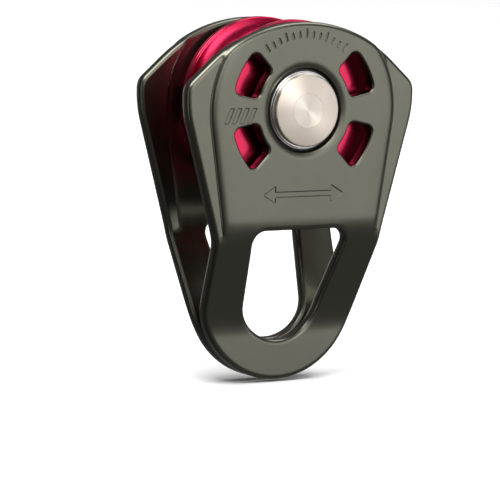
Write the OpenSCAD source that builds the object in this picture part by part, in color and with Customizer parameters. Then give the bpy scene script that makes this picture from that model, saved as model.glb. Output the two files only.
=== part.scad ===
// Swing-cheek rope pulley, in millimetres.
// Origin: centre of the sheave, on the axle. +Y runs along the axle, out of the rear cheek,
// and +Z points up, away from the carabiner eyes.
// Every sub-part is drawn for the rear half and mirrored across Y = 0 for the front half.

/* [Sheave] */
// Largest rope that the groove is cut for
rope_d = 11; // [9:0.5:11.5]
// Rim radius of the sheave
sheave_r = 18.35; // [18:0.05:18.8]
// Width of the sheave across its rims
sheave_w = 15.2; // [14.4:0.1:15.6]

/* [Bearings] */
// Bore of each ball bearing
bearing_bore = 8; // [7.6:0.1:8.2]
// Outside diameter of each ball bearing
bearing_od = 19; // [18.6:0.1:19.4]
// Width of each ball bearing
bearing_w = 6; // [5.8:0.1:6.2]
// Ball diameter
ball_d = 3.1; // [2.9:0.05:3.15]
// Balls in each bearing
ball_count = 8; // [6:1:9]

/* [Axle] */
// Diameter of the polished axle head
head_d = 15; // [14:0.1:15.6]
// Height of the axle head above the face of the cheek
head_proud = 1.2; // [0.6:0.1:1.6]
// Diameter of the pin end that is riveted flush in each head
pin_end_d = 7; // [5:0.1:7.4]

/* [Cheek plates] */
// Thickness of each pressed plate
plate_t = 2.8; // [2.6:0.1:3.2]
// Distance from the middle of the pulley to the raised face of a cheek
pad_face = 12.1; // [12:0.05:12.5]
// Height of the raised face above the side wings
pad_step = 0.8; // [0.5:0.05:0.9]
// Radius of the raised face about the axle, at its foot
pad_r = 22.05; // [21.5:0.05:22.5]
// Half of the greatest width of a cheek
half_width = 27.15; // [26.5:0.05:27.4]
// Height of the crown above the axle
crown_top = 18.1; // [17.9:0.05:18.6]
// Radius of the crown
crown_r = 33; // [32:0.5:35]
// Radius of the foot, below the eye
foot_r = 18.6; // [18:0.1:19]
// Depth of the foot's centre below the axle
foot_drop = 38.6; // [37.8:0.1:39.6]

/* [Bend] */
// Depth below the axle at which the plate starts to bend inward
bend_drop = 22; // [21.6:0.1:22.6]
// Lean of the plate between its two bends, in degrees
bend_angle = 26; // [24:1:30]
// Outside radius of the upper bend
upper_bend_r = 16; // [14:0.5:18]
// Outside radius of the lower bend
lower_bend_r = 16; // [14:0.5:18]

/* [Carabiner eye] */
// Radius of the round bottom of the eye
eye_r = 9.2; // [8.6:0.1:9.5]
// Depth of the eye's upper edge below the axle
eye_top_drop = 24.7; // [24:0.1:25]
// Depth of the centre of the eye's round bottom below the axle
eye_drop = 39.6; // [39:0.1:40]

/* [Windows] */
// Inner radius of the four windows
window_r_in = 11.2; // [11:0.1:12]
// Outer radius of the four windows
window_r_out = 17.15; // [16.5:0.05:17.6]
// Corner radius of the windows
window_corner = 1.4; // [0.6:0.1:1.8]

/* [Hidden] */

$fn = 96;
arc_step = 6;           // largest turn between two points of an arc, in degrees
press_gap = 0.01;       // radial gap of a pressed seat
running_gap = 0.05;     // gap of a face or bore that slides
through = 60;           // longer than any wall that is cut through

// Cheek outline
shoulder_slope = 41.2;  // fall of the straight shoulders, in degrees
shoulder_r = 3.5;
flank_r = 21;           // gentle turn from the shoulder into the flank
flank_top = -0.14;
flank_taper = 15.5;
leg_taper = 5.5;
waist_r = 25;
crown_apex = crown_top - crown_r + crown_r / cos(shoulder_slope);
shoulder_z = crown_apex - half_width * tan(shoulder_slope);
waist_z = (foot_r / cos(leg_taper) + foot_drop * tan(leg_taper) - half_width
           + flank_top * tan(flank_taper)) / (tan(flank_taper) - tan(leg_taper));
waist_x = half_width + (waist_z - flank_top) * tan(flank_taper);
foot_apex = -foot_drop - foot_r / sin(leg_taper);

// Raised face
pad_taper = 8.5;        // lean of the raised face's sides
recess_inset = 0.8;     // how far the pressed hollow behind the raised face lies inside it
wing_face = pad_face - pad_step;

// Bend
foot_gap = 0.5;         // half of the gap between the two feet
foot_face = foot_gap + plate_t;
wing_end = bend_drop + sqrt(pow(upper_bend_r, 2) - pow(upper_bend_r - pad_step, 2));
wing_back_turn = acos(1 - pad_step / (upper_bend_r - plate_t));
upper_centre = [pad_face - upper_bend_r, -bend_drop];
slant_length = (pad_face - foot_face - (upper_bend_r + lower_bend_r) * (1 - cos(bend_angle)))
               / sin(bend_angle);
lower_centre = upper_centre + upper_bend_r * [cos(bend_angle), -sin(bend_angle)]
               + slant_length * [-sin(bend_angle), -cos(bend_angle)]
               + lower_bend_r * [cos(bend_angle), -sin(bend_angle)];

// Eye
eye_taper = 8.4;
eye_corner = 2.8;
eye_top_half = eye_r / cos(eye_taper) + (eye_drop - eye_top_drop) * tan(eye_taper);
eye_apex = -eye_drop - eye_r / sin(eye_taper);

// Windows
window_first = 12.5;    // from this angle above or below the horizontal
window_last = 46;       // to this one

// Axle hole of a cheek
bush_bore_r = 5.55;
bush_r = 6.6;
sink_r = 8.75;
sink_floor = pad_face - 1.6;
dish_r = 10.4;
dish_depth = 0.3;

// Stack along the axle
centre_rib = 1;         // rib between the two bearings
seat_start = centre_rib / 2;
seat_end = seat_start + bearing_w;
pin_r = bearing_bore / 2;
pin_end_r = pin_end_d / 2;
head_face = pad_face + head_proud;
head_back = sink_floor + 1.6;
head_edge = 0.3;
neck_r = bush_bore_r - running_gap;
neck_start = pad_face - plate_t - 0.3;
flange_start = 7.3;
flange_r = 8;
bush_flange_r = 8.55;
bush_flange_t = 0.5;
washer_r = 8.1;

// Bearing sections
pitch_r = (bearing_bore + bearing_od) / 4;
ball_r = ball_d / 2;
race_r = ball_r + 0.03;
inner_ring_r = 5.4;
outer_ring_r_in = 8.1;
seal_t = 0.35;
seal_inset = 0.1;
cage_r_in = 6.15;
cage_r_out = 7.35;
bearing_mid = seat_start + bearing_w / 2;
race_y = [bearing_mid - 0.8, bearing_mid + 2.1];    // extent of the cage along the axle

// Sheave section
groove_r = rope_d / 2 + 0.1;
groove_centre = sheave_r + 0.7;
bearing_r = bearing_od / 2;
rib_r = 8.4;
rim_edge = 0.2;

// --- Outline helpers ---

// Points of the arc that rounds the corner at b, between the points a and c.
function corner_arc(a, b, c, r) =
    let (to_a = (a - b) / norm(a - b),
         to_c = (c - b) / norm(c - b),
         half = acos(to_a * to_c) / 2,
         centre = b + (to_a + to_c) / norm(to_a + to_c) * r / sin(half),
         first = b + to_a * r / tan(half) - centre,
         side = sign(to_a.x * to_c.y - to_a.y * to_c.x),
         turn = -side * (180 - 2 * half),
         start = atan2(first.y, first.x),
         steps = ceil(abs(turn) / arc_step))
    [for (i = [0:steps]) centre + r * [cos(start + turn * i / steps), sin(start + turn * i / steps)]];

// Closed outline through corners given as [x, z, radius].
function rounded(corners) =
    let (n = len(corners), at = function (i) [corners[i % n][0], corners[i % n][1]])
    [for (i = [0:n - 1]) each corner_arc(at(i + n - 1), at(i), at(i + 1), corners[i][2])];

// Points of an arc about a centre.
function arc(centre, r, from, to) =
    let (steps = ceil(abs(to - from) / arc_step))
    [for (i = [0:steps]) let (t = from + (to - from) * i / steps) centre + r * [cos(t), sin(t)]];

// Outline of a ring sector with rounded corners.
function sector(r_in, r_out, from, to, corner) =
    let (inset_out = asin(corner / (r_out - corner)),
         inset_in = asin(corner / (r_in + corner)),
         polar = function (r, t) r * [cos(t), sin(t)])
    concat(
        arc([0, 0], r_out, from + inset_out, to - inset_out),
        arc(polar(r_out - corner, to - inset_out), corner, to - inset_out, to + 90),
        arc(polar(r_in + corner, to - inset_in), corner, to + 90, to - inset_in + 180),
        arc([0, 0], r_in, to - inset_in, from + inset_in),
        arc(polar(r_in + corner, from + inset_in), corner, from + inset_in + 180, from + 270),
        arc(polar(r_out - corner, from + inset_out), corner, from - 90, from + inset_out));

// --- Placing helpers ---

// Puts a solid of the rear half on the front half.
module at_front() mirror([0, 1, 0]) children();

// Extrudes an outline drawn in X and Z from y_low to y_high.
module slab(y_low, y_high)
    translate([0, y_high, 0]) rotate([90, 0, 0]) linear_extrude(y_high - y_low) children();

// Turns a section drawn as [radius, y] about the axle.
module turned() rotate([-90, 0, 0]) rotate_extrude() children();

// Rectangle of a turned section.
module band(r_in, r_out, y_low, y_high)
    translate([r_in, y_low]) square([r_out - r_in, y_high - y_low]);

// --- Cheeks ---

module cheek_outline()
    polygon(rounded([
        [0, crown_apex, crown_r],
        [half_width, shoulder_z, shoulder_r],
        [half_width, flank_top, flank_r],
        [waist_x, waist_z, waist_r],
        [0, foot_apex, foot_r],
        [-waist_x, waist_z, waist_r],
        [-half_width, flank_top, flank_r],
        [-half_width, shoulder_z, shoulder_r]]));

module eye_outline()
    polygon(rounded([
        [eye_top_half, -eye_top_drop, eye_corner],
        [0, eye_apex, eye_r],
        [-eye_top_half, -eye_top_drop, eye_corner]]));

// Raised face, or the hollow behind it, down to a depth below the axle.
module pad_outline(inset, drop) {
    r = pad_r - inset;
    tangent = r * [cos(pad_taper), -sin(pad_taper)];
    bottom = [tangent.x - (drop + tangent.y) * tan(pad_taper), -drop];
    polygon(concat(arc([0, 0], r, -pad_taper, 180 + pad_taper), [[-bottom.x, bottom.y], bottom]));
}

// Side view of the plate: flat at the top, then an S-bend down to the foot.
module plate_section()
    polygon(concat(
        [[wing_face - plate_t, crown_top + 1], [pad_face, crown_top + 1]],
        arc(upper_centre, upper_bend_r, 0, -bend_angle),
        arc(lower_centre, lower_bend_r, 180 - bend_angle, 180),
        [[foot_face, -through], [foot_gap, -through]],
        arc(lower_centre, lower_bend_r + plate_t, 180, 180 - bend_angle),
        arc(upper_centre, upper_bend_r - plate_t, -bend_angle, -wing_back_turn)));

module windows()
    for (flip_x = [0, 1], flip_z = [0, 1])
        mirror([flip_x, 0, 0]) mirror([0, flip_z, 0])
            polygon(sector(window_r_in, window_r_out, window_first, window_last, window_corner));

module cheek()
    difference() {
        intersection() {
            slab(0, pad_face + 1) cheek_outline();
            translate([-half_width - 1, 0, 0]) rotate([90, 0, 90])
                linear_extrude(2 * half_width + 2) plate_section();
        }
        // Wings, pressed back from the raised face until the bend reaches their level
        slab(wing_face, pad_face + 1) difference() {
            translate([-through / 2, -wing_end]) square(through);
            pad_outline(0, wing_end);
        }
        // Hollow behind the raised face
        slab(wing_face - plate_t - 1, pad_face - plate_t) pad_outline(recess_inset, bend_drop);
        slab(-1, through) windows();
        slab(-1, through) eye_outline();
        turned() {
            band(0, bush_r, -1, through);
            band(0, sink_r, sink_floor, through);
            polygon([[0, pad_face - dish_depth], [sink_r, pad_face - dish_depth],
                     [dish_r, pad_face], [dish_r, through], [0, through]]);
        }
    }

module front_cheek() color("#76756a") at_front() cheek();
module rear_cheek() color("#6a695f") cheek();

// --- Bushes and thrust washers of the cheeks ---

module cheek_bush()
    turned() {
        band(bush_bore_r, bush_r, neck_start + running_gap, sink_floor);
        band(bush_bore_r, bush_flange_r, sink_floor, sink_floor + bush_flange_t);
    }

module front_cheek_bush() color("#2b2b2b") at_front() cheek_bush();
module rear_cheek_bush() color("#2b2b2b") cheek_bush();

module thrust_washer()
    turned() band(neck_r + press_gap, washer_r, sink_floor + bush_flange_t + running_gap, head_back);

module front_thrust_washer() color("#c9c9c4") at_front() thrust_washer();
module rear_thrust_washer() color("#c9c9c4") thrust_washer();

// --- Axle ---

module axle_pin()
    color("#b9b6b0") turned() {
        band(0, pin_r, -neck_start, neck_start);
        band(0, pin_end_r, -head_face, head_face);
    }

// Head that is pressed and riveted on the end of the pin; its neck is the journal of the cheek.
module axle_head()
    turned() {
        band(pin_end_r, neck_r, neck_start, head_back);
        polygon([[pin_end_r, head_back], [head_d / 2, head_back],
                 [head_d / 2, head_face - head_edge], [head_d / 2 - head_edge, head_face],
                 [pin_end_r, head_face]]);
    }

module front_axle_head() color("#d8d3ca") at_front() axle_head();
module rear_axle_head() color("#d8d3ca") axle_head();

// Flanged spacer between a bearing's inner ring and the axle head's neck.
module side_spacer()
    turned() {
        band(pin_r + press_gap, inner_ring_r - running_gap, seat_end, flange_start);
        band(pin_r + press_gap, flange_r, flange_start, neck_start);
    }

module front_side_spacer() color("#9a9a98") at_front() side_spacer();
module rear_side_spacer() color("#9a9a98") side_spacer();

module centre_spacer()
    color("#9a9a98") turned()
        band(pin_r + press_gap, inner_ring_r - running_gap, -seat_start, seat_start);

// --- Sheave ---

module sheave_half_section()
    difference() {
        union() {
            band(bearing_r, sheave_r, 0, sheave_w / 2);
            band(rib_r, bearing_r, 0, seat_start);
        }
        translate([groove_centre, 0]) circle(groove_r);
        // Broken edge of the rim
        polygon([[sheave_r, sheave_w / 2 - rim_edge], [sheave_r + 1, sheave_w / 2 - rim_edge - 1],
                 [sheave_r + 1, sheave_w / 2 + 1], [sheave_r - rim_edge - 1, sheave_w / 2 + 1],
                 [sheave_r - rim_edge, sheave_w / 2]]);
    }

module sheave()
    color("#d81f50") turned() {
        sheave_half_section();
        mirror([0, 1]) sheave_half_section();
    }

// --- Ball bearings ---

module race_cut() translate([pitch_r, bearing_mid]) circle(race_r);

module inner_ring()
    turned() difference() {
        band(pin_r + press_gap, inner_ring_r, seat_start, seat_end);
        race_cut();
    }

module outer_ring()
    turned() difference() {
        band(outer_ring_r_in, bearing_r - press_gap, seat_start, seat_end);
        race_cut();
    }

module ball_places()
    for (i = [0:ball_count - 1])
        rotate([0, i * 360 / ball_count, 0]) translate([pitch_r, bearing_mid, 0]) children();

module balls() ball_places() sphere(ball_r, $fn = 48);

// Crown cage that is snapped over the balls from the outboard side.
module cage()
    difference() {
        turned() band(cage_r_in, cage_r_out, race_y[0], race_y[1]);
        ball_places() rotate([0, 90, 0]) cylinder(h = ball_d, r = ball_r + running_gap, center = true);
    }

module seal(y_low)
    turned() band(inner_ring_r + 2 * running_gap, outer_ring_r_in, y_low, y_low + seal_t);

module outboard_seal() seal(seat_end - seal_inset - seal_t);
module inboard_seal() seal(seat_start + seal_inset);

module front_outer_ring() color("#b4b6b8") at_front() outer_ring();
module rear_outer_ring() color("#b4b6b8") outer_ring();
module front_inner_ring() color("#b4b6b8") at_front() inner_ring();
module rear_inner_ring() color("#b4b6b8") inner_ring();
module front_balls() color("#d0d2d4") at_front() balls();
module rear_balls() color("#d0d2d4") balls();
module front_cage() color("#c2b48c") at_front() cage();
module rear_cage() color("#c2b48c") cage();
module front_outboard_seal() color("#1e1e1e") at_front() outboard_seal();
module rear_outboard_seal() color("#1e1e1e") outboard_seal();
module front_inboard_seal() color("#1e1e1e") at_front() inboard_seal();
module rear_inboard_seal() color("#1e1e1e") inboard_seal();

front_cheek();
rear_cheek();
front_cheek_bush();
rear_cheek_bush();
front_thrust_washer();
rear_thrust_washer();
axle_pin();
front_axle_head();
rear_axle_head();
front_side_spacer();
rear_side_spacer();
centre_spacer();
sheave();
front_outer_ring();
rear_outer_ring();
front_inner_ring();
rear_inner_ring();
front_balls();
rear_balls();
front_cage();
rear_cage();
front_outboard_seal();
rear_outboard_seal();
front_inboard_seal();
rear_inboard_seal();
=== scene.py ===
import math

import bmesh
import bpy
import numpy as np
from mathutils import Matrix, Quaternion, Vector
from mathutils.geometry import delaunay_2d_cdt
from mathutils.kdtree import KDTree


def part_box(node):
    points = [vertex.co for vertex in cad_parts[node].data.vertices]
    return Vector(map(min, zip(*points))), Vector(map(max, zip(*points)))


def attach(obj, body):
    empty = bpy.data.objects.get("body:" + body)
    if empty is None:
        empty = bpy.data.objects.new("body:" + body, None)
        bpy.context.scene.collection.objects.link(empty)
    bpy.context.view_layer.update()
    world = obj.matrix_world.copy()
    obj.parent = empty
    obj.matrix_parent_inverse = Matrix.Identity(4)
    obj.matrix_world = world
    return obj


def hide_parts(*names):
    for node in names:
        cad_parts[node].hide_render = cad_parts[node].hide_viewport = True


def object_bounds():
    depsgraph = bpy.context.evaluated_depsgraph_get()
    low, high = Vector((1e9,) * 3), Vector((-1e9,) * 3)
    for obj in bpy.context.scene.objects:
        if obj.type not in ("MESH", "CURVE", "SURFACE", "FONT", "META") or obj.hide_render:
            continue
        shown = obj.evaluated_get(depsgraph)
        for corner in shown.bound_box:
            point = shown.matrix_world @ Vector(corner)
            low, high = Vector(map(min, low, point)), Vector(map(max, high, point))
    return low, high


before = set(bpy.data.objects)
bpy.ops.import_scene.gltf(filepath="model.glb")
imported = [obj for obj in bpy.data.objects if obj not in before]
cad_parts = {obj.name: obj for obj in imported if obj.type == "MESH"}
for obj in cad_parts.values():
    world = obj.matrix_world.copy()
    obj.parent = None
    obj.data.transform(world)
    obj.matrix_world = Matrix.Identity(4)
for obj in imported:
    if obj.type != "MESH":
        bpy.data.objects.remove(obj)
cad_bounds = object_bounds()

# Outlines are drawn in millimetres, seen along the axle as (x, z), on the rear half (+y).
# The front half is the rear one mirrored.
MM = 0.001


def box_mm(node):
    """Lowest and highest corner of a CAD node, in millimetres."""
    low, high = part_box(node)
    return [value / MM for value in low], [value / MM for value in high]


# --- Sizes of the cheeks ---

cheek_low, cheek_high = box_mm("rear_cheek")
PAD_FACE = cheek_high[1]
HALF_WIDTH = cheek_high[0]
CROWN_TOP = cheek_high[2]
FOOT_GAP = cheek_low[1]
PLATE = 2.8
PAD_STEP = 0.8          # height of the raised face above the side wings
PAD_R = 22.05           # radius of the raised face at its foot
PAD_RISE = (0.5, 0.3)   # heights of the steep and of the gentle part of its edge,
PAD_RUN = (0.3, 1.4)    # and how far inward each of them reaches
PAD_TAPER = 8.5         # lean of its sides, in degrees
HOLLOW_INSET = 0.8      # the hollow behind the raised face is this much smaller
WING_BLEND = 0.3        # softness of the line where a wing runs out in the bend

CROWN_R = 33
SHOULDER_SLOPE = 41.2
SHOULDER_R = 3.5
FLANK_TOP = -0.14
FLANK_TAPER = 15.5
FLANK_R = 21
WAIST_R = 25
LEG_TAPER = 5.5
FOOT_R = 18.6
FOOT_Z = cheek_low[2] + FOOT_R

BEND_Z = -22
BEND_ANGLE = 26
UPPER_BEND_R = 16
LOWER_BEND_R = 16

EYE_R = 9.2
EYE_Z = -39.6
EYE_TOP = -24.7
EYE_TAPER = 8.4
EYE_CORNER = 2.8

WINDOW_R = (11.2, 17.15)
WINDOW_ANGLES = (12.5, 46)
WINDOW_CORNER = 1.4

SINK_R = 8.75
SINK_FLOOR = 10.5
BUSH_R = 6.6
DISH_R = 10.4
DISH_SLOPE = 20
DISH_ROUND = 4.4

OUTER_FILLET = 0.9      # edges that face outward
INNER_FILLET = 0.8      # edges that face the sheave
WINDOW_FILLET = 0.45
WINDOW_INNER_FILLET = 0.08

# --- Outline helpers ---


def rad(degrees):
    """An angle in radians."""
    return math.radians(degrees)


def corner_arc(a, b, c, radius, step=3):
    """Points of the arc that rounds the corner at b, between the points a and c."""
    if radius == 0:
        return [b]
    to_a = (a - b) / np.linalg.norm(a - b)
    to_c = (c - b) / np.linalg.norm(c - b)
    half = math.acos(to_a @ to_c) / 2
    middle = (to_a + to_c) / np.linalg.norm(to_a + to_c)
    centre = b + middle * radius / math.sin(half)
    first = b + to_a * radius / math.tan(half) - centre
    side = np.sign(to_a[0] * to_c[1] - to_a[1] * to_c[0])
    turn = -side * (math.pi - 2 * half)
    count = max(2, math.ceil(abs(turn) / rad(step)) + 1)
    angles = math.atan2(first[1], first[0]) + np.linspace(0, turn, count)
    return [centre + radius * np.array([math.cos(t), math.sin(t)]) for t in angles]


def rounded(corners, step=3):
    """Closed outline through corners given as (x, z, radius)."""
    points = [np.array(corner[:2], float) for corner in corners]
    loop = []
    for i, corner in enumerate(corners):
        loop += corner_arc(points[i - 1], points[i], points[(i + 1) % len(points)], corner[2], step)
    return np.array(loop)


def arc(centre, radius, start, end, step=3):
    """Points of an arc about a centre, from one angle to another in degrees."""
    count = math.ceil(abs(end - start) / step) + 1
    angles = np.radians(np.linspace(start, end, count))
    return np.array(centre) + radius * np.stack([np.cos(angles), np.sin(angles)], 1)


def even(loop, spacing):
    """The same closed loop with its points evenly spaced."""
    closed = np.vstack([loop, loop[:1]])
    steps = np.linalg.norm(np.diff(closed, axis=0), axis=1)
    along = np.concatenate([[0], np.cumsum(steps)])
    at = np.linspace(0, along[-1], round(along[-1] / spacing), endpoint=False)
    return np.stack([np.interp(at, along, closed[:, k]) for k in (0, 1)], 1)


def turning_left(loop):
    """The same loop, run anticlockwise."""
    x, z = loop.T
    area = np.sum(x * np.roll(z, -1) - np.roll(x, -1) * z)
    return loop if area > 0 else loop[::-1]


def shifted(loop, distance):
    """The loop moved to its left by a distance."""
    along = np.roll(loop, -1, 0) - np.roll(loop, 1, 0)
    along /= np.linalg.norm(along, axis=1)[:, None]
    return loop + distance * np.stack([-along[:, 1], along[:, 0]], 1)


def inside(points, loop):
    """True for each point that lies inside the closed loop."""
    x, z = points[:, :1], points[:, 1:]
    a, b = loop, np.roll(loop, -1, 0)
    crosses = (a[:, 1] > z) != (b[:, 1] > z)
    rise = np.where(b[:, 1] == a[:, 1], 1, b[:, 1] - a[:, 1])
    cut = a[:, 0] + (z - a[:, 1]) * (b[:, 0] - a[:, 0]) / rise
    return ((x < cut) & crosses).sum(1) % 2 == 1


# --- Outlines of the cheek ---


def cheek_outline():
    """Crown, shoulders, flanks, waist and round foot."""
    crown_apex = CROWN_TOP - CROWN_R + CROWN_R / math.cos(rad(SHOULDER_SLOPE))
    shoulder_z = crown_apex - HALF_WIDTH * math.tan(rad(SHOULDER_SLOPE))
    flank, leg = math.tan(rad(FLANK_TAPER)), math.tan(rad(LEG_TAPER))
    waist_z = (FOOT_R / math.cos(rad(LEG_TAPER)) - FOOT_Z * leg - HALF_WIDTH
               + FLANK_TOP * flank) / (flank - leg)
    waist_x = HALF_WIDTH + (waist_z - FLANK_TOP) * flank
    foot_apex = FOOT_Z - FOOT_R / math.sin(rad(LEG_TAPER))
    right = [(HALF_WIDTH, shoulder_z, SHOULDER_R), (HALF_WIDTH, FLANK_TOP, FLANK_R),
             (waist_x, waist_z, WAIST_R)]
    left = [(-x, z, r) for x, z, r in reversed(right)]
    return rounded([(0, crown_apex, CROWN_R), *right, (0, foot_apex, FOOT_R), *left])


def eye_outline():
    """A round bottom, straight leaning sides and a flat top."""
    top = EYE_R / math.cos(rad(EYE_TAPER)) + (EYE_TOP - EYE_Z) * math.tan(rad(EYE_TAPER))
    apex = EYE_Z - EYE_R / math.sin(rad(EYE_TAPER))
    return rounded([(top, EYE_TOP, EYE_CORNER), (0, apex, EYE_R), (-top, EYE_TOP, EYE_CORNER)])


def window_outline(mirror_x, mirror_z):
    """A piece of a ring with rounded corners, in the quarter given by the two signs."""
    r_in, r_out = WINDOW_R
    first, last = WINDOW_ANGLES
    corner = WINDOW_CORNER
    swing_out = math.degrees(math.asin(corner / (r_out - corner)))
    swing_in = math.degrees(math.asin(corner / (r_in + corner)))

    def corner_at(radius, angle, start, end):
        centre = radius * np.array([math.cos(rad(angle)), math.sin(rad(angle))])
        return arc(centre, corner, start, end, 9)

    loop = np.vstack([
        arc((0, 0), r_out, first + swing_out, last - swing_out),
        corner_at(r_out - corner, last - swing_out, last - swing_out, last + 90),
        corner_at(r_in + corner, last - swing_in, last + 90, last - swing_in + 180),
        arc((0, 0), r_in, last - swing_in, first + swing_in),
        corner_at(r_in + corner, first + swing_in, first + swing_in + 180, first + 270),
        corner_at(r_out - corner, first + swing_out, first - 90, first + swing_out)])
    return loop * (mirror_x, mirror_z)


def bend(z, depth):
    """Distance from the middle of the pulley to the plate's outer face, or to depth below it."""
    upper_r, lower_r = UPPER_BEND_R - depth, LOWER_BEND_R + depth
    turn = rad(BEND_ANGLE)
    foot_face = FOOT_GAP + PLATE
    upper = np.array([PAD_FACE - UPPER_BEND_R, BEND_Z])
    both = UPPER_BEND_R + LOWER_BEND_R
    slant = (PAD_FACE - foot_face - both * (1 - math.cos(turn))) / math.sin(turn)
    lower = (upper + both * np.array([math.cos(turn), -math.sin(turn)])
             - slant * np.array([math.sin(turn), math.cos(turn)]))
    slant_top = upper + upper_r * np.array([math.cos(turn), -math.sin(turn)])
    slant_end = lower + lower_r * np.array([-math.cos(turn), math.sin(turn)])
    on_upper = upper[0] + np.sqrt(np.maximum(upper_r ** 2 - (z - upper[1]) ** 2, 0))
    on_slant = slant_top[0] + (z - slant_top[1]) * math.tan(turn)
    on_lower = lower[0] - np.sqrt(np.maximum(lower_r ** 2 - (z - lower[1]) ** 2, 0))
    flat, foot = PAD_FACE - depth, foot_face - depth
    return np.select([z >= upper[1], z >= slant_top[1], z >= slant_end[1], z >= lower[1]],
                     [flat, on_upper, on_slant, on_lower], foot)


def into_pad(x, z):
    """Distance inward from the foot of the raised face."""
    flank = math.tan(rad(PAD_TAPER))
    beside = np.abs(x) * math.cos(rad(PAD_TAPER)) - z * math.sin(rad(PAD_TAPER))
    return PAD_R - np.where(z < -flank * np.abs(x), beside, np.hypot(x, z))


def pad_drop(distance):
    """How far the edge of the raised face has dropped, at a distance inward from its foot."""
    inward = np.maximum(distance, 0)
    return sum(rise * np.exp(-inward / run) for rise, run in zip(PAD_RISE, PAD_RUN))


def face(x, z, depth, inset):
    """The plate's outer face, or the face at depth below it, as a height over the middle plane."""
    full = bend(z, depth)
    wing = PAD_FACE - PAD_STEP - depth
    pressed = wing + (full - wing - np.hypot(full - wing, WING_BLEND)) / 2
    return full - pad_drop(into_pad(x, z) - inset) * (full - pressed) / PAD_STEP


def outer_face(points):
    """Heights of the face away from the sheave, over an array of points."""
    return face(points[:, 0], points[:, 1], 0, 0)


def inner_face(points):
    """Heights of the face towards the sheave, over an array of points."""
    return face(points[:, 0], points[:, 1], PLATE, HOLLOW_INSET)


# --- Mesh helpers ---


def ring(bm, loop, heights):
    """Verts over the points of a loop."""
    return [bm.verts.new((x, y, z)) for (x, z), y in zip(loop, heights)]


def bridge(bm, rings):
    """Quads between each ring of verts and the next."""
    for first, second in zip(rings, rings[1:]):
        for i in range(len(first)):
            bm.faces.new((first[i - 1], first[i], second[i], second[i - 1]))


def flat_points(verts):
    """The verts seen along the axle, as an array."""
    return np.array([(v.co.x, v.co.z) for v in verts])


def clear_of(points, others, gap):
    """The points that are further than gap from all the others."""
    tree = KDTree(len(others))
    for i, (x, z) in enumerate(others):
        tree.insert((x, z, 0), i)
    tree.balance()
    return np.array([tree.find((x, z, 0))[2] > gap for x, z in points], bool)


def fill(bm, rings, height, curves=(), spacing=0.9):
    """Triangles between the first ring and the others, which are its holes. Curves are open
    lines of points that the triangles follow, and height gives y for an array of points."""
    loops = [flat_points(r) for r in rings]
    verts = [v for r in rings for v in r]
    points = [tuple(p) for loop in loops for p in loop]
    edges = []
    base = 0
    for loop in loops:
        edges += [(base + i, base + (i + 1) % len(loop)) for i in range(len(loop))]
        base += len(loop)
    on_rings = np.array(points)

    def usable(candidates, others, gap):
        good = inside(candidates, loops[0])
        for hole in loops[1:]:
            good &= ~inside(candidates, hole)
        return good & clear_of(candidates, others, gap)

    for curve in curves:
        good = usable(curve, on_rings, spacing * 0.4)
        for i, point in enumerate(curve):
            if good[i]:
                points.append(tuple(point))
                if i and good[i - 1]:
                    edges.append((len(points) - 2, len(points) - 1))

    low, high = loops[0].min(0), loops[0].max(0)
    rows = np.arange(low[1], high[1], spacing * math.sqrt(3) / 2)
    grid = [(x, z) for k, z in enumerate(rows)
            for x in np.arange(low[0] + (k % 2) * spacing / 2, high[0], spacing)]
    if grid:
        grid = np.array(grid)
        grid = grid[usable(grid, np.array(points), spacing * 0.55)]
        points += [tuple(p) for p in grid]

    flat_verts = [Vector(p) for p in points]
    out, _, faces, origin, _, _ = delaunay_2d_cdt(flat_verts, edges, [], 0, 1e-6, True)
    flat = np.array(out)
    middles = np.array([flat[list(f)].mean(0) for f in faces])
    keep = inside(middles, loops[0])
    for hole in loops[1:]:
        keep &= ~inside(middles, hole)
    heights = height(flat)
    made = {}

    def vert(i):
        if i not in made:
            known = [k for k in origin[i] if k < len(verts)]
            made[i] = verts[known[0]] if known else bm.verts.new((flat[i][0], heights[i], flat[i][1]))
        return made[i]

    for f, good in zip(faces, keep):
        if good:
            bm.faces.new([vert(i) for i in f])


def finished(bm, name, mirrored):
    """The mesh in metres as a new smooth object, mirrored to the front half if asked."""
    bmesh.ops.remove_doubles(bm, verts=bm.verts, dist=1e-5)
    bmesh.ops.scale(bm, vec=(MM, -MM if mirrored else MM, MM), verts=bm.verts)
    bmesh.ops.recalc_face_normals(bm, faces=bm.faces)
    for f in bm.faces:
        f.smooth = True
    mesh = bpy.data.meshes.new(name)
    bm.to_mesh(mesh)
    bm.free()
    made = bpy.data.objects.new(name, mesh)
    bpy.context.scene.collection.objects.link(made)
    return made


# --- Cheek plate ---

EDGE_SPACING = 0.5      # distance between the points of an outline
EYE_SPACING = 0.45
WINDOW_SPACING = 0.32
FILLET_STEPS = 6
HOLD = 0.25             # flat strip beside a fillet, so that its shading stays on it


def fillet_steps(radius):
    """(distance into the plate, drop below the face) at each step round a rounded edge."""
    turns = np.linspace(math.pi / 2, 0, FILLET_STEPS + 1)
    round_edge = [(radius * (1 - math.cos(t)), radius * (1 - math.sin(t))) for t in turns]
    return [(radius + HOLD, 0), *round_edge]


def plate_edge(bm, loop, fillet, inner_fillet):
    """Skins the wall under a loop that has the plate on its left. Returns the ring of verts that
    the outer face starts from, and the one that the inner face starts from."""
    rings = []
    for away, drop in fillet_steps(fillet):
        at = shifted(loop, away)
        rings.append(ring(bm, at, outer_face(at) - drop))
    for away, drop in reversed(fillet_steps(inner_fillet)):
        at = shifted(loop, away)
        rings.append(ring(bm, at, inner_face(at) + drop))
    bridge(bm, rings)
    return rings[0], rings[-1]


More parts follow.
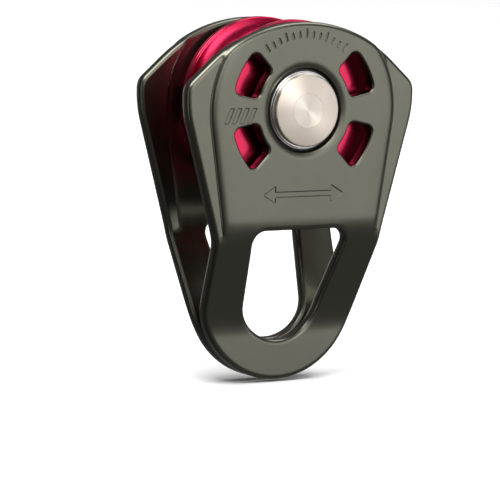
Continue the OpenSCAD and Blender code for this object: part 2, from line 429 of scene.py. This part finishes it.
def axle_hole(bm):
    """Skins the dished, stepped hole for the axle. Returns its outermost and innermost ring."""
    lip_end = DISH_R - DISH_ROUND * math.sin(rad(DISH_SLOPE))
    profile = [(DISH_R + HOLD, PAD_FACE)]
    for t in np.linspace(0, DISH_SLOPE, 9):
        profile.append((DISH_R - DISH_ROUND * math.sin(rad(t)),
                        PAD_FACE - DISH_ROUND * (1 - math.cos(rad(t)))))
    sink_top = profile[-1][1] - (lip_end - SINK_R) * math.tan(rad(DISH_SLOPE))
    edge, chamfer = 0.12, 0.3
    back = PAD_FACE - PLATE
    profile += [(SINK_R + edge, sink_top + edge * math.tan(rad(DISH_SLOPE))),
                (SINK_R + 0.03, sink_top - edge * 0.3),
                (SINK_R, sink_top - edge), (SINK_R, SINK_FLOOR),
                (BUSH_R, SINK_FLOOR), (BUSH_R, back + chamfer),
                (BUSH_R + chamfer, back), (BUSH_R + chamfer + HOLD, back)]
    rings = []
    for radius, y in profile:
        loop = arc((0, 0), radius, 0, -357, 3)
        rings.append(ring(bm, loop, [y] * len(loop)))
    bridge(bm, rings)
    return rings[0], rings[-1]


PAD_LINES = (-0.25, -0.08, 0, 0.1, 0.2, 0.32, 0.46, 0.65, 0.9, 1.25, 1.7, 2.4, 3.4)
PAD_FLANK_LENGTH = 22


def pad_curves(inset):
    """Lines that follow the edge of the raised face at several distances from its foot."""
    curves = []
    for away in PAD_LINES:
        radius = PAD_R - inset - away
        top = arc((0, 0), radius, -PAD_TAPER, 180 + PAD_TAPER, 1.5)
        down = np.linspace(0, PAD_FLANK_LENGTH, 36)[:, None]
        right = top[0] + down * (-math.sin(rad(PAD_TAPER)), -math.cos(rad(PAD_TAPER)))
        left = right * (-1, 1)
        curves.append(np.vstack([right[::-1], top[1:-1], left]))
    return curves


MARK_WALL = 0.13        # width of the slope round an engraved mark
MARK_DEPTH = 0.2
MARK_HOLD = 0.06        # flat strip beside that slope


def groove(bm, loop):
    """Skins an engraved mark whose edge is the loop. Returns its ring on the face."""
    rings = []
    for away, drop in ((MARK_HOLD, 0), (0, 0), (-MARK_WALL, MARK_DEPTH),
                       (-MARK_WALL - MARK_HOLD, MARK_DEPTH)):
        at = shifted(loop, away)
        rings.append(ring(bm, at, outer_face(at) - drop))
    bridge(bm, rings)
    fill(bm, rings[-1:], lambda p: outer_face(p) - MARK_DEPTH, spacing=2)
    return rings[0]


def stroke(start, end, width):
    """Outline of a straight line with round ends, from start to end."""
    (x0, z0), (x1, z1) = start, end
    lean = math.degrees(math.atan2(z1 - z0, x1 - x0))
    return np.vstack([arc(end, width / 2, lean - 90, lean + 90, 30),
                      arc(start, width / 2, lean + 90, lean + 270, 30)])


def ticks():
    """A row of short ticks that follows the crown, every third a little longer."""
    foot, top, long_top, width = 15, 16, 16.5, 0.5
    loops = []
    for k in range(-6, 7):
        angle = rad(90 + k * 6)
        outward = np.array([math.cos(angle), math.sin(angle)])
        end = long_top if k % 3 == 0 else top
        loops.append(stroke(foot * outward, end * outward, width))
    return loops


def rope_sign():
    """Slanted bars, like the lay of a rope, beside the axle."""
    first, middle, half_height, slant, bar, pitch = -18.4, -0.9, 1.6, 0.7, 1.05, 1.75
    loops = []
    for k in range(4):
        x = first + k * pitch
        loops.append(rounded([(x - slant, middle - half_height, 0.2),
                              (x + bar - slant, middle - half_height, 0.2),
                              (x + bar + slant, middle + half_height, 0.2),
                              (x + slant, middle + half_height, 0.2)], 30))
    return loops


def double_arrow():
    """An arrow with two heads, along the rope."""
    middle, tip, neck, head, shaft = -17.2, 9.6, 6.6, 1.9, 0.6
    right = [(neck, shaft, 0.1), (neck, head, 0.2), (tip, 0, 0.2), (neck, -head, 0.2),
             (neck, -shaft, 0.1)]
    both = right + [(-x, -z, r) for x, z, r in right]
    return rounded([(x, middle + z, r) for x, z, r in both], 30)


def cheek_marks():
    """Outlines of the plain engraved marks."""
    loops = [*ticks(), *rope_sign(), double_arrow()]
    return [turning_left(loop)[::-1] for loop in loops]


def cheek(name, mirrored):
    """One pressed plate."""
    bm = bmesh.new()
    windows = [window_outline(x, z) for x in (-1, 1) for z in (-1, 1)]
    edge = even(turning_left(cheek_outline()), EDGE_SPACING)
    edges = [plate_edge(bm, edge, OUTER_FILLET, INNER_FILLET)]
    for outline in windows:
        loop = even(turning_left(outline), WINDOW_SPACING)[::-1]
        edges.append(plate_edge(bm, loop, WINDOW_FILLET, WINDOW_INNER_FILLET))
    eye = even(turning_left(eye_outline()), EYE_SPACING)[::-1]
    edges.append(plate_edge(bm, eye, OUTER_FILLET, INNER_FILLET))
    edges.append(axle_hole(bm))
    marks = [groove(bm, loop) for loop in cheek_marks()]
    fill(bm, [outer for outer, _ in edges] + marks, outer_face, pad_curves(0))
    fill(bm, [inner for _, inner in edges], inner_face, pad_curves(HOLLOW_INSET))
    return finished(bm, name, mirrored)


# --- Turned pieces ---


def turned(name, corners, mirrored, segments=192):
    """A piece turned about the axle, from corners given as (radius, y, rounding)."""
    bm = bmesh.new()
    profile = rounded(corners, 10)
    rings = []
    for k in range(segments):
        angle = 2 * math.pi * k / segments
        across, up = math.cos(angle), math.sin(angle)
        rings.append([bm.verts.new((r * across, y, r * up)) for r, y in profile])
    bridge(bm, rings + rings[:1])
    return finished(bm, name, mirrored)


# --- Materials ---


class Graph:
    """A material's node tree, written one node at a time."""

    def __init__(self, name):
        self.material = bpy.data.materials.new(name)
        self.material.use_nodes = True
        self.tree = self.material.node_tree
        self.shader = self.tree.nodes["Principled BSDF"]

    def node(self, kind, inputs=None, **settings):
        made = self.tree.nodes.new("ShaderNode" + kind)
        for key, value in settings.items():
            setattr(made, key, value)
        for key, value in (inputs or {}).items():
            self.put(made.inputs[key], value)
        return made

    def put(self, socket, value):
        if isinstance(value, bpy.types.NodeSocket):
            self.tree.links.new(value, socket)
        else:
            socket.default_value = value

    def set(self, **inputs):
        for key, value in inputs.items():
            self.put(self.shader.inputs[key.replace("_", " ")], value)

    def place(self):
        return self.node("TexCoord").outputs["Object"]

    def noise(self, scale, detail=3):
        made = self.node("TexNoise", {"Vector": self.place(), "Scale": scale, "Detail": detail})
        return made.outputs["Fac"]

    def range(self, value, low, high):
        made = self.node("MapRange", {"Value": value, "To Min": low, "To Max": high})
        return made.outputs["Result"]

    def mix(self, factor, a, b):
        made = self.node("Mix", data_type="RGBA")
        self.put(made.inputs[0], factor)
        self.put(made.inputs[6], a)
        self.put(made.inputs[7], b)
        return made.outputs[2]

    def bump(self, height, distance, strength):
        made = self.node("Bump", {"Height": height, "Distance": distance, "Strength": strength})
        return made.outputs["Normal"]


def rgb(red, green, blue):
    """A linear colour for a socket."""
    return (red, green, blue, 1)


def between(g, axes, low, high):
    """1 where the distance from the origin, along the given axes, lies between two values."""
    along = g.node("VectorMath", {0: g.place(), 1: axes}, operation="MULTIPLY").outputs[0]
    distance = g.node("VectorMath", {0: along}, operation="LENGTH").outputs["Value"]
    limits = {1: (low + high) / 2 * MM, 2: (high - low) / 2 * MM}
    return g.node("Math", {0: distance, **limits}, operation="COMPARE").outputs[0]


def window_shade_mask(g):
    """1 on the walls of the cheeks' windows, 0 elsewhere: the places that get painted shade."""
    margin = 0.2
    near = between(g, (1, 0, 1), WINDOW_R[0] - margin, WINDOW_R[1] + 2 * margin)
    deep = between(g, (0, 1, 0), PAD_FACE - PLATE + margin / 2, PAD_FACE - WINDOW_FILLET)
    return g.node("Math", {0: near, 1: deep}, operation="MULTIPLY").outputs[0]


def anodised(name, dark, light, roughness, grain, coat, painted_wall_shade=False):
    """Anodised aluminium: an even tone with faint clouds and a fine blasted grain. If asked, it also
    has painted shade: near-black colour on the walls of the windows, standing in for the shade inside
    them.
    """
    g = Graph(name)
    tone = g.mix(g.noise(60), rgb(*dark), rgb(*light))
    if painted_wall_shade:
        # painted shade: the window walls are coloured near black in place of the shade that falls
        # inside the windows
        tone = g.mix(window_shade_mask(g), tone, rgb(0.03, 0.025, 0.02))
    g.set(Base_Color=tone, Metallic=1.0,
          Roughness=g.range(g.noise(400), roughness - 0.03, roughness + 0.04),
          Coat_Weight=coat, Coat_Roughness=0.12, Coat_IOR=1.6,
          Normal=g.bump(g.noise(6000, 2), 0.00002, grain))
    return g.material


def turned_steel(name, colour, roughness, anisotropy):
    """Steel faced on a lathe: fine rings about the axle."""
    g = Graph(name)
    wave = {"Vector": g.place(), "Scale": 900.0, "Distortion": 0.4, "Detail": 2.0}
    rings = g.node("TexWave", wave, wave_type="RINGS", rings_direction="Y").outputs["Fac"]
    tangent = g.node("Tangent", direction_type="RADIAL", axis="Y").outputs["Tangent"]
    worn = g.range(g.noise(300), roughness - 0.04, roughness + 0.04)
    g.set(Base_Color=rgb(*colour), Metallic=1.0, Roughness=worn, Anisotropic=anisotropy,
          Anisotropic_Rotation=0.25, Tangent=tangent, Normal=g.bump(rings, 0.000004, 0.4))
    return g.material


def polymer(name, colour, roughness):
    """Moulded plastic or rubber with a slightly uneven, matt surface."""
    g = Graph(name)
    tone = g.mix(g.noise(200), rgb(*colour), rgb(*[c * 1.3 for c in colour]))
    g.set(Base_Color=tone, Roughness=g.range(g.noise(900), roughness - 0.05, roughness + 0.05),
          Normal=g.bump(g.noise(3000), 0.00003, 0.4))
    return g.material


def paint(thing, material):
    """Gives the thing this material and no other."""
    thing.data.materials.clear()
    thing.data.materials.append(material)


# The cheeks' metal has painted shade, near-black colour, on the walls of its windows.
cheek_metal = anodised(
    "satin_anodised_grey", (0.16, 0.158, 0.122), (0.185, 0.182, 0.141),
    roughness=0.3, grain=0.25, coat=0.4, painted_wall_shade=True)
sheave_metal = anodised(
    "magenta_anodised", (0.72, 0.008, 0.075), (0.78, 0.014, 0.095),
    roughness=0.22, grain=0.1, coat=0.4)
head_steel = turned_steel("turned_steel", (0.88, 0.78, 0.68), 0.3, 0.8)
pin_steel = turned_steel("turned_pin_steel", (0.83, 0.76, 0.68), 0.26, 0.85)
bright_steel = turned_steel("bright_steel", (0.75, 0.74, 0.72), 0.18, 0.3)
black_polymer = polymer("black_polymer", (0.02, 0.02, 0.021), 0.45)
seal_rubber = polymer("seal_rubber", (0.012, 0.012, 0.013), 0.6)
cage_polymer = polymer("cage_polymer", (0.35, 0.27, 0.16), 0.5)

# --- The pieces ---

head_low, head_high = box_mm("rear_axle_head")
washer_low, washer_high = box_mm("rear_thrust_washer")
bush_low, bush_high = box_mm("rear_cheek_bush")
spacer_low, spacer_high = box_mm("rear_side_spacer")
rim_r, rim_y = box_mm("sheave")[1][:2]
head_r = head_high[0]

PIN_R = 4.01
PIN_END_R = 3.5
NECK_R = 5.5
HEAD_DOME = 60          # radius of the slight dome of the head
WASHER_BORE_R = NECK_R + 0.01
WASHER_STEP = 0.5       # height of the washer's inner step
WASHER_STEP_R = head_r + 0.35
BUSH_BORE_R = 5.55
SPACER_SHANK_R = 5.35
SPACER_FLANGE_Y = 7.3

RIM_LINE_Y = 6.3        # a fine line is turned round the rim here
RIM_LINE = 0.12
GROOVE_R = 5.6
GROOVE_LIFT = 0.7       # the groove's centre lies this far outside the rim
SEAT_R = 9.5            # the bearings' seat
WEB_R = 8.4             # the web between the two seats
WEB_Y = 0.5


def add_cheek(side, mirrored):
    plate = cheek(f"{side}_cheek_plate", mirrored)
    paint(plate, cheek_metal)
    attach(plate, f"{side}_side")
    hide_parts(f"{side}_cheek")


def add_head(side, mirrored):
    """The head is slightly domed, up to the end of the pin in its middle."""
    neck_end = head_low[1]
    head_base = washer_high[1]
    dome = [(r, head_high[1] - (r ** 2 - PIN_END_R ** 2) / (2 * HEAD_DOME), 0)
            for r in np.linspace(head_r - 0.4, PIN_END_R + 0.15, 9)]
    head = turned(f"{side}_head", [
        (PIN_END_R, neck_end, 0.1), (NECK_R, neck_end, 0.2), (NECK_R, head_base, 0),
        (head_r, head_base, 0.15), (head_r, dome[0][1] - 0.05, 0.3), *dome,
        (PIN_END_R, head_high[1], 0.04)], mirrored)
    paint(head, head_steel)
    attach(head, "axle")
    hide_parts(f"{side}_axle_head")


def add_washer(side, mirrored):
    """The washer stands up in a step round the head."""
    washer_r = washer_high[0]
    step_y = washer_high[1] - WASHER_STEP
    washer = turned(f"{side}_washer", [
        (WASHER_BORE_R, washer_low[1], 0.05), (washer_r, washer_low[1], 0.12),
        (washer_r, step_y, 0.15), (WASHER_STEP_R, step_y, 0.05),
        (WASHER_STEP_R, washer_high[1], 0.15), (WASHER_BORE_R, washer_high[1], 0.05)], mirrored)
    paint(washer, bright_steel)
    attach(washer, "axle")
    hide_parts(f"{side}_thrust_washer")


def add_bush(side, mirrored):
    flange_r = bush_high[0]
    bush = turned(f"{side}_bush", [
        (BUSH_BORE_R, bush_low[1], 0.15), (BUSH_R, bush_low[1], 0.15), (BUSH_R, SINK_FLOOR, 0),
        (flange_r, SINK_FLOOR, 0.1), (flange_r, bush_high[1], 0.2),
        (BUSH_BORE_R, bush_high[1], 0.1)], mirrored)
    paint(bush, black_polymer)
    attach(bush, f"{side}_side")
    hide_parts(f"{side}_cheek_bush")


def add_spacer(side, mirrored):
    flange_r = spacer_high[0]
    spacer = turned(f"{side}_spacer", [
        (PIN_R, spacer_low[1], 0.05), (SPACER_SHANK_R, spacer_low[1], 0.1),
        (SPACER_SHANK_R, SPACER_FLANGE_Y, 0.1), (flange_r, SPACER_FLANGE_Y, 0.2),
        (flange_r, spacer_high[1], 0.2), (PIN_R, spacer_high[1], 0.1)], mirrored)
    paint(spacer, bright_steel)
    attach(spacer, "axle")
    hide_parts(f"{side}_side_spacer")


def add_wheel():
    """The sheave: a round groove between two rims, bored for the bearings from each side."""
    half_turn = math.degrees(math.acos(GROOVE_LIFT / GROOVE_R))
    points = arc((rim_r + GROOVE_LIFT, 0), GROOVE_R, 180 - half_turn, 180 + half_turn)
    groove_arc = [(r, y, 0) for r, y in points[1:-1]]
    groove_edge = GROOVE_R * math.sin(rad(half_turn))
    flank = [(rim_r, groove_edge, 0.3), (rim_r, RIM_LINE_Y - RIM_LINE, 0.06),
             (rim_r - RIM_LINE, RIM_LINE_Y, 0.04), (rim_r, RIM_LINE_Y + RIM_LINE, 0.06),
             (rim_r, rim_y, 0.12), (SEAT_R, rim_y, 0.25), (SEAT_R, WEB_Y, 0), (WEB_R, WEB_Y, 0.1)]
    other_flank = [(r, -y, rounding) for r, y, rounding in reversed(flank)]
    wheel = turned("sheave_wheel", flank + other_flank + groove_arc[::-1], False, 256)
    paint(wheel, sheave_metal)
    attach(wheel, "sheave")
    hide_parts("sheave")


for side, mirrored in (("rear", False), ("front", True)):
    add_cheek(side, mirrored)
    add_head(side, mirrored)
    add_washer(side, mirrored)
    add_bush(side, mirrored)
    add_spacer(side, mirrored)
add_wheel()

for node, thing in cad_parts.items():
    if node == "axle_pin":
        paint(thing, pin_steel)
    elif node.endswith(("ring", "balls")) or node == "centre_spacer":
        paint(thing, bright_steel)
    elif node.endswith("seal"):
        paint(thing, seal_rubber)
    elif node.endswith("cage"):
        paint(thing, cage_polymer)

# --- Stage, light and camera ---

FLOOR_RADIUS = 6
FLOOR_GAP = 0.0005


def pale_floor():
    """A pale floor that only the camera sees, so that it adds no reflections."""
    bm = bmesh.new()
    bmesh.ops.create_circle(bm, cap_ends=True, segments=96, radius=FLOOR_RADIUS)
    mesh = bpy.data.meshes.new("floor")
    bm.to_mesh(mesh)
    bm.free()
    floor = bpy.data.objects.new("floor", mesh)
    bpy.context.scene.collection.objects.link(floor)
    floor.location.z = cad_bounds[0].z - FLOOR_GAP
    g = Graph("pale_floor")
    g.set(Base_Color=rgb(0.9, 0.9, 0.9), Roughness=0.9)
    paint(floor, g.material)
    floor.visible_glossy = False
    floor.visible_diffuse = False


pale_floor()


def toward(azimuth, elevation):
    """Unit vector from the object; azimuth 0 is the front, 90 the right."""
    around, above = rad(azimuth), rad(elevation)
    level = math.cos(above)
    return Vector((math.sin(around) * level, -math.cos(around) * level, math.sin(above)))


def lamp(name, kind, azimuth, elevation, distance):
    """A light at a distance in the given direction, facing the object."""
    light = bpy.data.lights.new(name, kind)
    made = bpy.data.objects.new(name, light)
    made.location = toward(azimuth, elevation) * distance
    made.rotation_mode = "QUATERNION"
    made.rotation_quaternion = toward(azimuth, elevation).to_track_quat("Z", "Y")
    bpy.context.scene.collection.objects.link(made)
    return made


def softbox(name, azimuth, elevation, width, height, radiance, distance=1.5):
    """A rectangular softbox of even brightness."""
    made = lamp(name, "AREA", azimuth, elevation, distance)
    made.data.shape = "RECTANGLE"
    made.data.size = width
    made.data.size_y = height
    made.data.energy = radiance * math.pi * width * height
    return made


softbox("face_card", 33, 0, 0.9, 0.65, 1.08)
softbox("front_box", 4, 19, 1.2, 1.05, 0.85)
softbox("key_box", 6, 22, 0.5, 0.5, 2.0)
softbox("top_left_box", -65, 62, 1.0, 1.0, 5.5)
softbox("top_right_box", 85, 63, 1.0, 1.0, 2.6)
softbox("left_strip", -78, 0, 0.35, 1.2, 1.1)
softbox("right_back_card", 108, -5, 0.9, 1.0, 0.6)
softbox("back_top_card", 180, 68, 1.0, 0.5, 0.6)
softbox("back_card", 184, 1, 0.65, 0.6, 1.3)
floor_light = lamp("floor_light", "SUN", 0, 75, 3)
floor_light.data.energy = 3.1
floor_light.data.angle = rad(70)
floor_light.visible_glossy = False


WORLD_DIM_SIDE = -95    # azimuth of the darkest side
WORLD_LEFT = 0.04
WORLD_RIGHT = 0.13
WORLD_SEEN = 0.95       # what the camera sees


def studio_world():
    """Dim surroundings, dimmer towards the left, which the camera itself sees near white."""
    world = bpy.data.worlds.new("studio")
    bpy.context.scene.world = world
    world.use_nodes = True
    nodes, links = world.node_tree.nodes, world.node_tree.links
    to_left = nodes.new("ShaderNodeVectorMath")
    to_left.operation = "DOT_PRODUCT"
    to_left.inputs[1].default_value = toward(WORLD_DIM_SIDE, 0)
    links.new(nodes.new("ShaderNodeTexCoord").outputs["Generated"], to_left.inputs[0])
    dim = nodes.new("ShaderNodeMapRange")
    dim.interpolation_type = "SMOOTHSTEP"
    limits = {"From Min": -0.2, "From Max": 0.8, "To Min": WORLD_RIGHT, "To Max": WORLD_LEFT}
    for key, value in limits.items():
        dim.inputs[key].default_value = value
    links.new(to_left.outputs["Value"], dim.inputs["Value"])
    seen = nodes.new("ShaderNodeMix")
    seen.inputs["B"].default_value = WORLD_SEEN
    links.new(nodes.new("ShaderNodeLightPath").outputs["Is Camera Ray"], seen.inputs["Factor"])
    links.new(dim.outputs["Result"], seen.inputs["A"])
    links.new(seen.outputs["Result"], nodes["Background"].inputs["Strength"])
    nodes["Background"].inputs["Color"].default_value = rgb(1, 1, 1)


studio_world()

CAMERA_PLACE = Vector((-0.3155, -0.5239, 0.0443))
CAMERA_AZIMUTH, CAMERA_ELEVATION, CAMERA_ROLL = -30.626, 6.956, 1.2
camera = bpy.data.objects.new("camera", bpy.data.cameras.new("camera"))
camera.data.lens = 211.7
camera.data.sensor_width = 36
camera.data.clip_start = 0.05
camera.location = CAMERA_PLACE
aim = toward(CAMERA_AZIMUTH, CAMERA_ELEVATION).to_track_quat("Z", "Y")
camera.rotation_mode = "QUATERNION"
camera.rotation_quaternion = aim @ Quaternion((0, 0, 1), rad(CAMERA_ROLL))
bpy.context.scene.collection.objects.link(camera)
bpy.context.scene.camera = camera
bpy.context.scene.view_settings.view_transform = "Standard"
